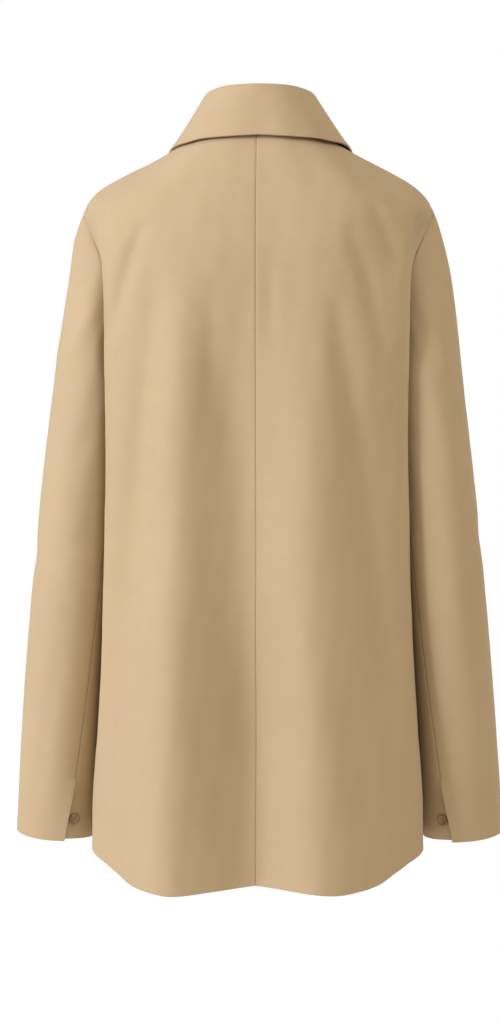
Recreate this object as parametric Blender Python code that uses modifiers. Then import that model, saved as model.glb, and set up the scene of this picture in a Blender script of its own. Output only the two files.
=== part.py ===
# Hip-length raincoat with a fold-over collar, in its worn form and hollow.
# Metres, +Z up. The coat faces -Y and the wearer's left is +X.
# The origin lies between the two neck ends of the shoulder seams, where the coat hangs on the shoulders.

import math

import bmesh
import bpy
import numpy as np

MM = 0.001
CLOTH = 1.6 * MM  # wall of the coat cloth
COLLAR_CLOTH = 1.8 * MM  # two layers and interlining, pressed
SEAM = 0.4 * MM  # space between two panels at a seam
ARMHOLE_SEAM = 1.4 * MM  # wider on the outside, because the two walls turn towards each other
COLLAR_SEAM = 0.8 * MM
SEAM_STRIP = 2 * MM  # narrow strip beside a seam, so that both walls end square to it
LAYER = CLOTH + 0.4 * MM  # from one cloth to the one that lies on it
FRONT_LAP = 22 * MM  # each front reaches this far past the centre
LAP_RAMP = 70 * MM  # width over which the under front sinks behind the upper one
VENT_LENGTH = 72 * MM
VENT_LAP = 12 * MM  # the under sleeve reaches this far behind the top sleeve at the slit
VENT_SINK = 2.6 * MM  # and lies this far in
ARMHOLE_TOP, UNDERARM = 4.0, 8.0  # places of these sections in the body tables

# Body sections from neckline to hem, one half, in millimetres.
# spine is the centre back, blade the back corner, edge the shoulder, armhole or side seam.
# Columns: spine y, z, blade x, y, z, edge x, y, z.
BACK_SECTIONS = (
    (70, 6, 53, 49, 4, 75, 0, 0),  # neckline
    (80, -16, 74, 58, -14, 98, 0, -15),  # under the collar's edge
    (92, -54, 108, 70, -50, 143, 0, -37),  # middle of the shoulder
    (100, -86, 142, 70, -78, 175, 0, -57),  # outer shoulder
    (104, -116, 171.5, 58, -99, 193, 0, -81),  # shoulder point
    (107, -150, 168.5, 64, -142, 172, 34, -131),  # upper armhole
    (108, -188, 167, 67, -183, 158, 37, -176),  # middle of the armhole
    (108, -224, 166.2, 68, -221, 146, 30, -213),  # lower armhole
    (108, -262, 165.8, 67, -258, 137, 10, -238),  # underarm
    (108, -400, 164.7, 63, -400, 152, 0, -400),  # waist
    (110, -560, 169, 59, -560, 164, -5, -560),  # hip
    (114, -680, 173.5, 56, -680, 171, -6, -680),  # low hip
    (119, -772, 174, 54, -772, 172, -5, -768),  # hem at the side
)
# Columns: front y, z, chest x, y, z, edge x, y, z.
FRONT_SECTIONS = (
    (-78, -72, 54, -58, -36, 75, 0, 0),  # neckline
    (-87, -92, 74, -66, -56, 98, 0, -15),  # under the collar's edge
    (-99, -118, 106, -72, -82, 143, 0, -37),  # middle of the shoulder
    (-107, -142, 130, -74, -106, 175, 0, -57),  # outer shoulder
    (-112, -164, 142, -74, -130, 193, 0, -81),  # shoulder point
    (-115, -184, 143, -78, -160, 170, -34, -131),  # upper armhole
    (-117, -208, 142, -80, -192, 151, -47, -176),  # middle of the armhole
    (-118, -234, 139, -82, -226, 139, -32, -213),  # lower armhole
    (-118, -264, 136, -84, -258, 137, 10, -238),  # underarm
    (-117, -400, 143, -80, -400, 152, 0, -400),  # waist
    (-120, -560, 150, -80, -560, 164, -5, -560),  # hip
    (-124, -680, 155, -81, -680, 171, -6, -680),  # low hip
    (-128, -772, 158, -82, -772, 172, -5, -768),  # hem at the side
)
WING_CREASE = 0.5  # how sharply the back folds beside the armhole
WING_HOLLOW = 10 * MM  # how far the back falls in behind that fold, to leave room for the sleeve
MID_REACH, MID_DEPTH, MID_LEVEL = 0.52, 0.90, 0.80  # point between the centre and the corner of a section

# Hanging folds, in millimetres: where each lies across the body at its start and at the hem.
# rise is how far it stands out, below zero for a trough.
# Columns: x at start, x at hem, half width at start and at hem, rise, z of start, z where full.
BACK_FOLDS = (
    (76, 105, 28, 42, 13.5, -105, -330),  # left flute
    (90, 104, 34, 40, 5, -380, -680),  # and where it deepens towards the hem
    (30, -6, 34, 46, -13, -130, -340),  # trough beside the centre seam
    (12, -6, 40, 46, -6, -380, -680),
    (-60, -54, 28, 44, 9.5, -150, -380),  # right flute
    (-86, -165, 16, 26, -5, -170, -440),  # right outer trough
    (112, 160, 16, 26, -5, -140, -420),  # left outer trough
)
FRONT_FOLDS = (
    (78, 96, 34, 44, 8, -260, -600),
    (44, 52, 24, 34, -7, -280, -620),
    (-82, -98, 34, 44, 8, -240, -580),
    (-46, -54, 24, 34, -6, -290, -620),
)

FOLD_FADE = 0.22  # share of a panel's width over which the folds die away to its edge

# Drop of the hem below its level at the side seam, by share of the way round from centre to side.
# Columns: share of the way to the side, drop of the back, drop of the front.
HEM_DROP = (
    (0.00, 37, 30),
    (0.15, 41, 31),
    (0.35, 45, 32),
    (0.48, 40.5, 30),
    (0.55, 35.5, 27),
    (0.62, 26, 22),
    (0.70, 16, 16),
    (0.82, 5, 7),
    (1.00, 0, 0),
)
HEM_FROM = 10.0  # section where the curve of the hem begins to tell

# Sleeve sections below the armhole, in millimetres and degrees.
# Angles run round the sleeve from its rear (0) over the outer side (90).
# Columns: axis x, y, z, half width, half depth, angle of the back seam.
SLEEVE_SECTIONS = (
    (183.2, 6, -268, 41.0, 53, -68),  # upper arm
    (195.8, 8, -380, 41.5, 52, -61),  # above the elbow
    (207.3, 6, -510, 42.5, 50, -51),  # forearm
    (217.5, -8, -640, 43.5, 49, -37),  # lower forearm
    (225.0, -26, -762, 44.0, 48, -19.5),  # cuff
)
CAP_BACK_SEAM = -50.0  # back seam of the sleeve at the armhole
SLEEVE_ROUND = 297 * MM  # length round the sleeve
FRONT_SEAM = -130.0  # front seam, at the inner front of the sleeve
CAP_LEAVE = (0.37, 0.25, -0.90)  # way the sleeve leaves the armhole: out, back or forward, down
CAP_CLEAR = (0.32, -0.36, 0.0)  # turns the lower rear of the sleeve away from the back

# Collar, in millimetres, by angle round the neck from the centre back.
# Columns: angle, height of the fold, body section under the edge, lift off the body.
COLLAR = (
    (0, 49.0, 0.72, 7.0),
    (45, 47.5, 0.83, 5.0),
    (90, 38.5, 1.05, 3.0),
    (135, 6.0, 1.46, 4.0),
    (180, -34.0, 1.95, 5.0),
)
FOLD_HALF_WIDTH, FOLD_HALF_DEPTH, FOLD_CENTRE_Y = 57 * MM, 65 * MM, -4 * MM
FOLD_END, LEAF_END = 176.5, 150.0  # angles where the collar ends at the fold and at its outer edge
ROLL = ((0.4, 0.5), (1.3, 3.2), (3.6, 4.6), (6.0, 3.6))  # steps out and up over the fold, in millimetres
LEAF_BOW = 1.5 * MM  # how far the collar's fall bows out

FRONT_BUTTON_R, CUFF_BUTTON_R = 9.0 * MM, 6.35 * MM
BUTTON_LEVELS = (-112, -235, -358, -481, -604)  # heights of the front buttons, in millimetres
CUFF_BUTTON_UP, CUFF_BUTTON_IN = 21 * MM, 9.5 * MM  # from the hem and from the slit
BUTTON_SEAT = 0.3 * MM  # from the cloth to the underside of a button
CUFF_SAG = 0.75 * MM  # the flats of the under sleeve lie this far inside its curve

SHOULDER_ROWS, ARMHOLE_ROWS, SIDE_ROWS, BODY_STEPS = 6, 9, 8, 13  # faces down and across a body panel
BLADE_STEPS = 10  # of the faces across the back, those between the centre and its corner
CAP_ROWS, SLEEVE_ROWS = 6, 11
STAND_ROWS, LEAF_ROWS, COLLAR_STEPS = 3, 5, 34
BUTTON_SIDES = 18
DENSE = 80  # points along a section before it is spaced evenly


# Curves and tables


def hermite(start, start_slope, end, end_slope, share):
    """Point at a share of the way along a cubic with these ends and slopes."""
    s2, s3 = share * share, share * share * share
    return (
        (2 * s3 - 3 * s2 + 1) * start
        + (s3 - 2 * s2 + share) * start_slope
        + (3 * s2 - 2 * s3) * end
        + (s3 - s2) * end_slope
    )


def along(table, place):
    """Row of a table at a place between its rows, on a smooth curve."""
    rows = np.asarray(table, float)
    slopes = np.gradient(rows, axis=0)
    first = int(min(max(math.floor(place), 0), len(rows) - 2))
    return hermite(rows[first], slopes[first], rows[first + 1], slopes[first + 1], place - first)


def at_key(table, key, column):
    """Column of a table whose first column rises, at a value of that first column."""
    rows = np.asarray(table, float)
    place = np.interp(key, rows[:, 0], np.arange(len(rows)))
    return float(along(rows, place)[column])


def ramp(value):
    """Smooth step from 0 to 1."""
    v = min(max(value, 0.0), 1.0)
    return v * v * (3 - 2 * v)


def spaced(points, shares):
    """Points at shares of a polyline's length."""
    steps = np.linalg.norm(np.diff(points, axis=0), axis=1)
    run = np.concatenate([[0.0], np.cumsum(steps)]) / steps.sum()
    return np.column_stack([np.interp(shares, run, points[:, axis]) for axis in range(3)])


def stripped(values, strip):
    """Values with one more close to each end."""
    step = math.copysign(strip, values[-1] - values[0])
    return np.array([values[0], values[0] + step, *values[1:-1], values[-1] - step, values[-1]])


def unit(vector):
    return vector / np.linalg.norm(vector)


# Body surface


def edge_point(table, place):
    """Outer edge of a panel, shared by back and front wherever they are sewn together."""
    # The shoulder line ends at the armhole, which runs smoothly from back to front over its top.
    top = int(ARMHOLE_TOP)
    if place <= top:
        back, front = (along(t[:top + 1], place)[5:] * MM for t in (BACK_SECTIONS, FRONT_SECTIONS))
        return (back + front) / 2
    back = along((FRONT_SECTIONS[top + 1], *BACK_SECTIONS[top:]), place - top + 1)[5:] * MM
    front = along((BACK_SECTIONS[top + 1], *FRONT_SECTIONS[top:]), place - top + 1)[5:] * MM
    if place >= UNDERARM:
        return (back + front) / 2
    return back if table is BACK_SECTIONS else front


def section_points(table, place):
    """Centre, between, corner and edge points of one half of a body section."""
    depth, level, corner_x, corner_y, corner_z = along(table, place)[:5] * MM
    centre = np.array((0.0, depth, level))
    corner = np.array((corner_x, corner_y, corner_z))
    between = np.array((
        MID_REACH * corner_x,
        corner_y + MID_DEPTH * (depth - corner_y),
        corner_z + MID_LEVEL * (level - corner_z),
    ))
    return centre, between, corner, edge_point(table, place)


def half_section(place, back):
    """Dense polyline from the centre of the back or front to its edge, for the left half."""
    own, other = (BACK_SECTIONS, FRONT_SECTIONS) if back else (FRONT_SECTIONS, BACK_SECTIONS)
    centre, between, corner, edge = section_points(own, place)
    far_corner, far_edge = section_points(other, place)[2:]
    openness = ramp(np.linalg.norm(far_edge - edge) / (50 * MM))
    beyond = far_edge * openness + far_corner * (1 - openness)
    knots = (centre, between, corner, edge)
    crease = WING_CREASE * ramp(2 * (place - ARMHOLE_TOP)) if back else 0.0
    slopes = (
        np.array((between[0], 0.0, 0.0)),
        (corner - centre) / 2,
        (edge - between) / 2 * (1 - crease),
        (beyond - corner) / 2,
    )
    points = np.array([
        hermite(knots[i], slopes[i], knots[i + 1], slopes[i + 1], share)
        for i in range(3)
        for share in np.linspace(0, 1, DENSE // 3, endpoint=False)
    ])
    if back:
        inward = unit(np.array((edge[1] - corner[1], corner[0] - edge[0], 0.0)))
        hollow = WING_HOLLOW * ramp((place - 5) / 1.2) * ramp((9.3 - place) / 1.2)
        fall = np.sin(np.linspace(0, math.pi, DENSE // 3, endpoint=False)) ** 2
        points[2 * (DENSE // 3):] += inward * hollow * fall[:, None]
    return np.array([*points, edge])


def fold_rise(folds, x, z):
    """How far the hanging folds stand out at a place on the body, in metres."""
    total = 0.0
    for x_start, x_hem, half_start, half_hem, rise, z_start, z_full in folds:
        down = min(max((z / MM - z_start) / (BACK_SECTIONS[-1][1] - z_start), 0.0), 1.0)
        middle = x_start + (x_hem - x_start) * down
        half = half_start + (half_hem - half_start) * down
        total += rise * ramp((z / MM - z_start) / (z_full - z_start)) * math.exp(-(((x / MM - middle) / half) ** 2))
    return total * MM


def body_row(place, back, side, shares):
    """Points across one half of the back or front; side is 1 for the wearer's left, -1 for the right.

    A share below zero lies past the centre line, on the other half."""
    dense = half_section(place, back)
    whole = np.concatenate([(dense * (-1, 1, 1))[:0:-1], dense])
    points = spaced(whole, 0.5 + np.asarray(shares) / 2)
    curve_of_hem = ramp((place - HEM_FROM) / (len(BACK_SECTIONS) - 1 - HEM_FROM))
    folds, out = (BACK_FOLDS, 1) if back else (FRONT_FOLDS, -1)
    for point, share in zip(points, shares):
        point[0] *= side
        point[2] -= at_key(HEM_DROP, abs(share), 1 if back else 2) * curve_of_hem * MM
        point[1] += out * fold_rise(folds, point[0], point[2]) * ramp((1 - abs(share)) / FOLD_FADE)
    return points


def body_places():
    """Sections that the rows of a body panel follow."""
    return np.concatenate([
        np.linspace(0, ARMHOLE_TOP, SHOULDER_ROWS, endpoint=False),
        np.linspace(ARMHOLE_TOP, UNDERARM, ARMHOLE_ROWS, endpoint=False),
        np.linspace(UNDERARM, len(BACK_SECTIONS) - 1, SIDE_ROWS + 1),
    ])


def half_length(place, back):
    return np.linalg.norm(np.diff(half_section(place, back), axis=0), axis=1).sum()


def blade_share(place):
    """Share of the way to the edge at which the corner of the back lies."""
    steps = np.linalg.norm(np.diff(half_section(place, True), axis=0), axis=1)
    return steps[:2 * (DENSE // 3)].sum() / steps.sum()


def edge_inset(place):
    """Space left at the edge of a body panel, in metres."""
    return SEAM / 2 if place >= UNDERARM or place <= ARMHOLE_TOP else ARMHOLE_SEAM / 2


def back_grid(side):
    rows = []
    for place in body_places():
        length, blade = half_length(place, True), blade_share(place)
        shares = np.concatenate([
            np.linspace(SEAM / 2 / length, blade, BLADE_STEPS, endpoint=False),
            np.linspace(blade, 1 - edge_inset(place) / length, BODY_STEPS - BLADE_STEPS + 1),
        ])
        rows.append(body_row(place, True, side, stripped(shares, SEAM_STRIP / length)))
    return np.array(rows)


def front_grid(side):
    """Front panel that laps past the centre; the right one lies over the left."""
    rows = []
    for place in body_places():
        length = half_length(place, False)
        shares = np.linspace(-FRONT_LAP / length, 1 - edge_inset(place) / length, BODY_STEPS + 2)
        shares = stripped(shares, SEAM_STRIP / length)
        points = body_row(place, False, side, shares)
        if side > 0:
            run = section_points(FRONT_SECTIONS, place + 0.05)[0] - section_points(FRONT_SECTIONS, place - 0.05)[0]
            inward = unit(np.array((0.0, -run[2], run[1])))
            for point, share in zip(points, shares):
                point += inward * LAYER * ramp(1.6 - (share * length + FRONT_LAP) / LAP_RAMP)
        rows.append(points)
    return np.array(rows)


# Sleeves, made for the wearer's left and mirrored


def armhole_loop(angle):
    """Point of the armhole for an angle round the sleeve."""
    turned = (angle + 90.0) % 360.0 - 90.0
    back = turned <= 90.0
    share = (90.0 - turned) / 180.0 if back else (turned - 90.0) / 180.0
    place = ARMHOLE_TOP + (UNDERARM - ARMHOLE_TOP) * share
    return edge_point(BACK_SECTIONS if back else FRONT_SECTIONS, place)


def sleeve_ring(place, angle):
    """Point of the sleeve below the cap; place counts sections from the upper arm."""
    axis_x, axis_y, axis_z, half_width, half_depth = along(SLEEVE_SECTIONS, place)[:5] * MM
    ahead, behind = along(SLEEVE_SECTIONS, place + 0.01), along(SLEEVE_SECTIONS, place - 0.01)
    lean_x, lean_y = (ahead - behind)[:2] / (ahead - behind)[2]
    a = math.radians(angle)
    out, back = half_width * math.sin(a), half_depth * math.cos(a)
    return np.array((axis_x + out, axis_y + back, axis_z - lean_x * out - lean_y * back))


def cap_point(share, angle):
    """Point between the armhole and the upper arm."""
    start, end = armhole_loop(angle), sleeve_ring(0, angle)
    a = math.radians(angle)
    reach = np.linalg.norm(end - start)
    free = ramp((math.sin(a) + 0.5) / 0.9)
    shoulder_way = np.array((CAP_LEAVE[0], CAP_LEAVE[1] * math.cos(a), CAP_LEAVE[2]))
    below = (end - start) / reach + np.array(CAP_CLEAR) * max(0.0, -math.sin(2 * a))
    leave = unit(shoulder_way * free + below * (1 - free))
    arrive = unit(sleeve_ring(0.2, angle) - end)
    start = start + leave * ARMHOLE_SEAM / 2
    return hermite(start, leave * reach, end, arrive * reach, share)


def back_seam_angle(place):
    if place < 0:
        return CAP_BACK_SEAM + (SLEEVE_SECTIONS[0][5] - CAP_BACK_SEAM) * ramp(place + 1)
    return along(SLEEVE_SECTIONS, place)[5]


def sleeve_point(place, angle):
    """Point of the sleeve; place runs from -1 at the armhole over 0 at the upper arm to 4 at the cuff."""
    return cap_point(place + 1, angle) if place < 0 else sleeve_ring(place, angle)


def sleeve_places():
    """Rows of the sleeve, with the vent's top on one of them."""
    last = len(SLEEVE_SECTIONS) - 1
    vent_top = last - VENT_LENGTH / MM / (SLEEVE_SECTIONS[-2][2] - SLEEVE_SECTIONS[-1][2])
    cap = np.linspace(-1, 0, CAP_ROWS, endpoint=False)
    arm = np.linspace(0, vent_top, SLEEVE_ROWS - 2, endpoint=False)
    return np.concatenate([cap, arm, np.linspace(vent_top, last, 4)]), vent_top


def under_point(place, angle):
    """Point of the under sleeve, which sinks behind the top sleeve at the slit."""
    point = sleeve_point(place, angle)
    vent_top, last = sleeve_places()[1], len(SLEEVE_SECTIONS) - 1
    if place <= vent_top:
        return point
    near_slit = ramp(1 - (back_seam_angle(place) - angle) / 60)
    inward = unit(sleeve_ring(place, angle + 180) - point)
    return point + inward * VENT_SINK * ramp(3 * (place - vent_top) / (last - vent_top)) * near_slit


def sleeve_shares(first, last):
    """Shares of the way round a sleeve piece that meet the rows of the body at the armhole."""
    step = 180.0 / ARMHOLE_ROWS
    rows = np.arange(90.0 - 10 * 360, 90.0 + 10 * 360, step)
    inside = [a for a in rows if min(first, last) + 2 < a < max(first, last) - 2]
    return np.sort((np.array([first, *inside, last]) - first) / (last - first))


def sleeve_grid(top):
    """Top or under sleeve of the left arm, from back seam to front seam."""
    places, vent_top = sleeve_places()
    last = len(SLEEVE_SECTIONS) - 1
    degrees = 360 / SLEEVE_ROUND
    front = FRONT_SEAM + 360 if top else FRONT_SEAM
    shares = sleeve_shares(CAP_BACK_SEAM, front)
    rows = []
    for place in places:
        vent = max(0.0, (place - vent_top) / (last - vent_top))
        back = back_seam_angle(place)
        inset = SEAM / 2 * (1 + max(0.0, -place)) * degrees
        if top:
            start, end = back + inset, front - inset
        else:
            start, end = back - inset + VENT_LAP * ramp(vent * 1.5 - 0.5) * degrees, front + inset
        angles = stripped(start + (end - start) * shares, SEAM_STRIP * degrees)
        point_at = sleeve_point if top else under_point
        rows.append([point_at(place, angle) for angle in angles])
    return np.array(rows)


# Collar, from the wearer's right end round the back to the left end


def neck_point(angle, place):
    """Point of a body section near the neck, by angle round the neck from the centre back."""
    turn = abs(angle)
    back = turn <= 90
    share = turn / 90 if back else (180 - turn) / 90
    point = spaced(half_section(place, back), [share])[0]
    return point * (math.copysign(1, angle), 1, 1)


def fold_point(angle):
    a = math.radians(angle)
    level = at_key(COLLAR, abs(angle), 1) * MM
    return np.array((
        FOLD_HALF_WIDTH * math.sin(a),
        FOLD_CENTRE_Y + FOLD_HALF_DEPTH * math.cos(a),
        level,
    ))


def stand_grid():
    rows = []
    for up in np.linspace(0, 1, STAND_ROWS + 1):
        row = []
        for turn in np.linspace(-1, 1, COLLAR_STEPS + 1):
            angle = turn * FOLD_END
            foot = neck_point(angle, 0) + np.array((0, 0, COLLAR_SEAM))
            row.append(foot + (fold_point(angle) - foot) * up)
        rows.append(row)
    return np.array(rows)


def leaf_edge(angle):
    """Outer edge of the collar's fall, lifted off the body section that it hangs over."""
    place, lift = at_key(COLLAR, abs(angle), 2), at_key(COLLAR, abs(angle), 3) * MM
    point = neck_point(angle, place)
    outward = unit(np.array((point[0], point[1], 0.0)))
    return point + (outward * 0.6 + np.array((0, 0, 0.8))) * lift


def leaf_grid():
    """Fall of the collar, rolled over the fold and down to its outer edge."""
    turns = np.linspace(-1, 1, COLLAR_STEPS + 1)
    rows = []
    for out, up in ROLL:
        row = []
        for turn in turns:
            fold = fold_point(turn * FOLD_END)
            outward = unit(np.array((fold[0], fold[1] - FOLD_CENTRE_Y, 0.0)))
            row.append(fold + outward * out * MM + np.array((0, 0, up * MM)))
        rows.append(row)
    start = rows[-1]
    for down in np.linspace(0, 1, LEAF_ROWS + 1)[1:]:
        row = []
        for first, turn in zip(start, turns):
            last = leaf_edge(turn * LEAF_END)
            outward = unit(np.array((first[0] + last[0], first[1] + last[1], 0.0)))
            row.append(first + (last - first) * down + outward * LEAF_BOW * math.sin(math.pi * down))
        rows.append(row)
    return np.array(rows)


# Objects


def cloth_material(name, colour, roughness):
    material = bpy.data.materials.new(name)
    material.use_nodes = True
    shader = material.node_tree.nodes["Principled BSDF"]
    shader.inputs["Base Color"].default_value = (*colour, 1)
    shader.inputs["Roughness"].default_value = roughness
    shader.inputs["Metallic"].default_value = 0.0
    return material


def cloth_wall(name, grid, thickness, material, collection, flip=False):
    """Surface through a grid of points, thickened inwards."""
    rows, columns = grid.shape[:2]
    bm = bmesh.new()
    vertices = [[bm.verts.new(point) for point in row] for row in grid]
    for i in range(rows - 1):
        for j in range(columns - 1):
            corners = [vertices[i][j], vertices[i + 1][j], vertices[i + 1][j + 1], vertices[i][j + 1]]
            bm.faces.new(corners[::-1] if flip else corners)
    mesh = bpy.data.meshes.new(name)
    bm.to_mesh(mesh)
    bm.free()
    mesh.shade_smooth()
    mesh.materials.append(material)
    wall = bpy.data.objects.new(name, mesh)
    collection.objects.link(wall)
    solidify = wall.modifiers.new("wall", "SOLIDIFY")
    solidify.thickness = thickness
    solidify.offset = -1.0
    solidify.use_even_offset = False
    return wall


def button(name, radius, place, outward, seat, material, collection):
    """Turned button with a raised rim, standing on the cloth at a place."""
    edge = radius * 0.12
    height = radius * 0.34
    profile = (
        (0.0, height * 0.62),
        (radius * 0.62, height * 0.66),
        (radius * 0.74, height),
        (radius - edge, height),
        (radius, height - edge),
        (radius, edge),
        (radius - edge, 0.0),
        (0.0, 0.0),
    )
    mesh = bpy.data.meshes.new(name)
    edges = [(i, i + 1) for i in range(len(profile) - 1)]
    mesh.from_pydata([(r, 0.0, z) for r, z in profile], edges, [])
    mesh.materials.append(material)
    piece = bpy.data.objects.new(name, mesh)
    collection.objects.link(piece)
    screw = piece.modifiers.new("turn", "SCREW")
    screw.axis = "Z"
    screw.steps = screw.render_steps = BUTTON_SIDES
    screw.use_merge_vertices = True
    screw.merge_threshold = 0.00001
    out = unit(np.asarray(outward, float))
    turn = np.array((0.0, 0.0, 1.0))
    axis = np.cross(turn, out)
    angle = math.acos(float(np.clip(turn @ out, -1, 1)))
    piece.rotation_mode = "AXIS_ANGLE"
    piece.rotation_axis_angle = (angle, *(unit(axis) if np.linalg.norm(axis) > 1e-9 else (1, 0, 0)))
    piece.location = np.asarray(place) + out * seat
    return piece


def front_button_place(level):
    """Point on the centre of the right front at a height, and the way out of the cloth."""
    last = len(FRONT_SECTIONS) - 1
    places = np.linspace(0, last, 200)
    levels = [along(FRONT_SECTIONS, place)[1] for place in places]
    place = float(np.interp(-level, [-v for v in levels], places))
    spots = [body_row(p, False, -1, [0.0])[0] for p in (place - 0.05, place + 0.05)]
    run = spots[1] - spots[0]
    return (spots[0] + spots[1]) / 2, np.array((0.0, run[2], -run[1]))


def cuff_button_place():
    """Point on the left under sleeve beside the slit, and the way out of the cloth."""
    last = len(SLEEVE_SECTIONS) - 1
    per_mm = 1 / (SLEEVE_SECTIONS[-2][2] - SLEEVE_SECTIONS[-1][2])
    place = last - CUFF_BUTTON_UP / MM * per_mm
    angle = back_seam_angle(place) - 360 * CUFF_BUTTON_IN / SLEEVE_ROUND
    across = under_point(place, angle + 5) - under_point(place, angle - 5)
    down = under_point(place + 0.05, angle) - under_point(place - 0.05, angle)
    return under_point(place, angle), unit(np.cross(across, down))


def main():
    for old in list(bpy.data.objects):
        bpy.data.objects.remove(old, do_unlink=True)
    coat = bpy.data.collections.new("raincoat")
    bpy.context.scene.collection.children.link(coat)
    cloth = cloth_material("coat_cloth", (0.56, 0.41, 0.22), 0.75)
    horn = cloth_material("button_horn", (0.36, 0.24, 0.12), 0.4)

    for side, hand in ((1, "left"), (-1, "right")):
        cloth_wall(f"back_{hand}", back_grid(side), CLOTH, cloth, coat, flip=side > 0)
        cloth_wall(f"front_{hand}", front_grid(side), CLOTH, cloth, coat, flip=side < 0)
        for top, piece in ((True, "top"), (False, "under")):
            grid = sleeve_grid(top) * (side, 1, 1)
            cloth_wall(f"sleeve_{piece}_{hand}", grid, CLOTH, cloth, coat, flip=(side > 0) == top)
        place, outward = cuff_button_place()
        mirror = np.array((side, 1, 1))
        seat = BUTTON_SEAT - CUFF_SAG
        button(f"button_cuff_{hand}", CUFF_BUTTON_R, place * mirror, outward * mirror, seat, horn, coat)

    cloth_wall("collar_stand", stand_grid(), COLLAR_CLOTH, cloth, coat)
    cloth_wall("collar_fall", leaf_grid(), COLLAR_CLOTH, cloth, coat, flip=True)
    for number, level in enumerate(BUTTON_LEVELS, 1):
        place, outward = front_button_place(level)
        button(f"button_front_{number}", FRONT_BUTTON_R, place, outward, BUTTON_SEAT, horn, coat)


main()
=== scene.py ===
import math

import bmesh
import bpy
import numpy as np
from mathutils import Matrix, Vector


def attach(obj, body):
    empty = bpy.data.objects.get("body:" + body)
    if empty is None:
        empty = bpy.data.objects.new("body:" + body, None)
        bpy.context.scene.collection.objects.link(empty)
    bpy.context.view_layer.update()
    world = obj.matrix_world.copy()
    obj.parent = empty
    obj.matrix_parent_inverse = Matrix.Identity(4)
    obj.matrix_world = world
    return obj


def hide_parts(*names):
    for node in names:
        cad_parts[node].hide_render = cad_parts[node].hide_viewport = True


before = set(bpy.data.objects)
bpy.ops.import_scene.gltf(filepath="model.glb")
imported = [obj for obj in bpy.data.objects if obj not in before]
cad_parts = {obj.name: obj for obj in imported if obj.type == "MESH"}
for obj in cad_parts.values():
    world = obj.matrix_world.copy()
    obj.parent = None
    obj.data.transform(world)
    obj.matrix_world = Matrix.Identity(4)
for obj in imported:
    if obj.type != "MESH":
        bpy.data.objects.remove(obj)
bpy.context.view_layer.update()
mm = 0.001
print("frame loaded")

# Coat block: sections from neckline to hem, one half, in mm, the same block as the solids
coatBlock = {
    # centre y, z, corner x, y, z, edge x, y, z
    "back": (
        (70, 6, 53, 49, 4, 75, 0, 0),  # neckline
        (80, -16, 74, 58, -14, 98, 0, -15),
        (92, -54, 108, 70, -50, 143, 0, -37),
        (100, -86, 142, 70, -78, 175, 0, -57),
        (104, -116, 171.5, 58, -99, 193, 0, -81),  # shoulder point
        (107, -150, 168.5, 64, -142, 172, 34, -131),
        (108, -188, 167, 67, -183, 158, 37, -176),
        (108, -224, 166.2, 68, -221, 146, 30, -213),
        (108, -262, 165.8, 67, -258, 137, 10, -238),  # underarm
        (108, -400, 164.7, 63, -400, 152, 0, -400),  # waist
        (110, -560, 169, 59, -560, 164, -5, -560),
        (114, -680, 173.5, 56, -680, 171, -6, -680),
        (119, -772, 174, 54, -772, 172, -5, -768),  # hem at the side
    ),
    "front": (
        (-78, -72, 54, -58, -36, 75, 0, 0),
        (-87, -92, 74, -66, -56, 98, 0, -15),
        (-99, -118, 106, -72, -82, 143, 0, -37),
        (-107, -142, 130, -74, -106, 175, 0, -57),
        (-112, -164, 142, -74, -130, 193, 0, -81),
        (-115, -184, 143, -78, -160, 170, -34, -131),
        (-117, -208, 142, -80, -192, 151, -47, -176),
        (-118, -234, 139, -82, -226, 139, -32, -213),
        (-118, -264, 136, -84, -258, 137, 10, -238),
        (-117, -400, 143, -80, -400, 152, 0, -400),
        (-120, -560, 150, -80, -560, 164, -5, -560),
        (-124, -680, 155, -81, -680, 171, -6, -680),
        (-128, -772, 158, -82, -772, 172, -5, -768),
    ),
    "midReach": 0.52, "midDepth": 0.90, "midLevel": 0.80, "sideOpen": 50,
    "armholeTop": 4.0, "underarm": 8.0, "lastRow": 12.0,
    "cloth": 1.3, "rim": 0.3,  # wall, and how far its rounded rim stands out as a share of it
    "seamGap": 0.3,
    "groove": 0.45, "grooveWidth": 1.2,  # how a sewn edge turns in
    "pucker": 0.11, "puckerBeats": (7.3, 4.1), "puckerWidth": 7,
    "seamShadeAndDirtTone": 2.2,  # half width of the painted shade and dirt line along a seam
    "edgeFade": 26, "neckFade": 60,  # calm cloth beside the armhole and below the neck
    # share of the way to the side, drop of the back hem, drop of the front hem
    "hemDrop": (
        (0.00, 37, 30), (0.15, 41, 31), (0.35, 45, 32), (0.48, 40.5, 30), (0.55, 35.5, 27),
        (0.62, 26, 22), (0.70, 16, 16), (0.82, 5, 7), (1.00, 0, 0),
    ),
    "hemFrom": 10.0,
}

# Fold of the back beside the armhole; a pair names the sections where something starts and is full
wing = {
    "rise": (3.3, 4.3), "crease": 0.72, "creaseEnd": (12.5, 8.5),
    "turn": (0.12, 1, 1), "turnEnd": (11.5, 9.5),
    "hollow": 10.0, "hollowRise": (5, 6.2), "hollowEnd": (9.3, 8.1),  # room for the sleeve
    "foot": (0.12, 0.85, 0.5), "dropRise": (3.85, 4.3), "dropEnd": (8.2, 6.6),
    "footWide": 0.48, "wideEnd": (5.1, 4.6), "footNear": 0.35, "nearEnd": (3.95, 4.35),
    "rounding": 8, "roundReach": (24, 30),  # passes, and points before and after the fold
    "ease": 0.8, "easePasses": 8, "easeSpan": 0.35, "easeEdge": (2, 10),  # of the bend at its top
}

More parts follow.
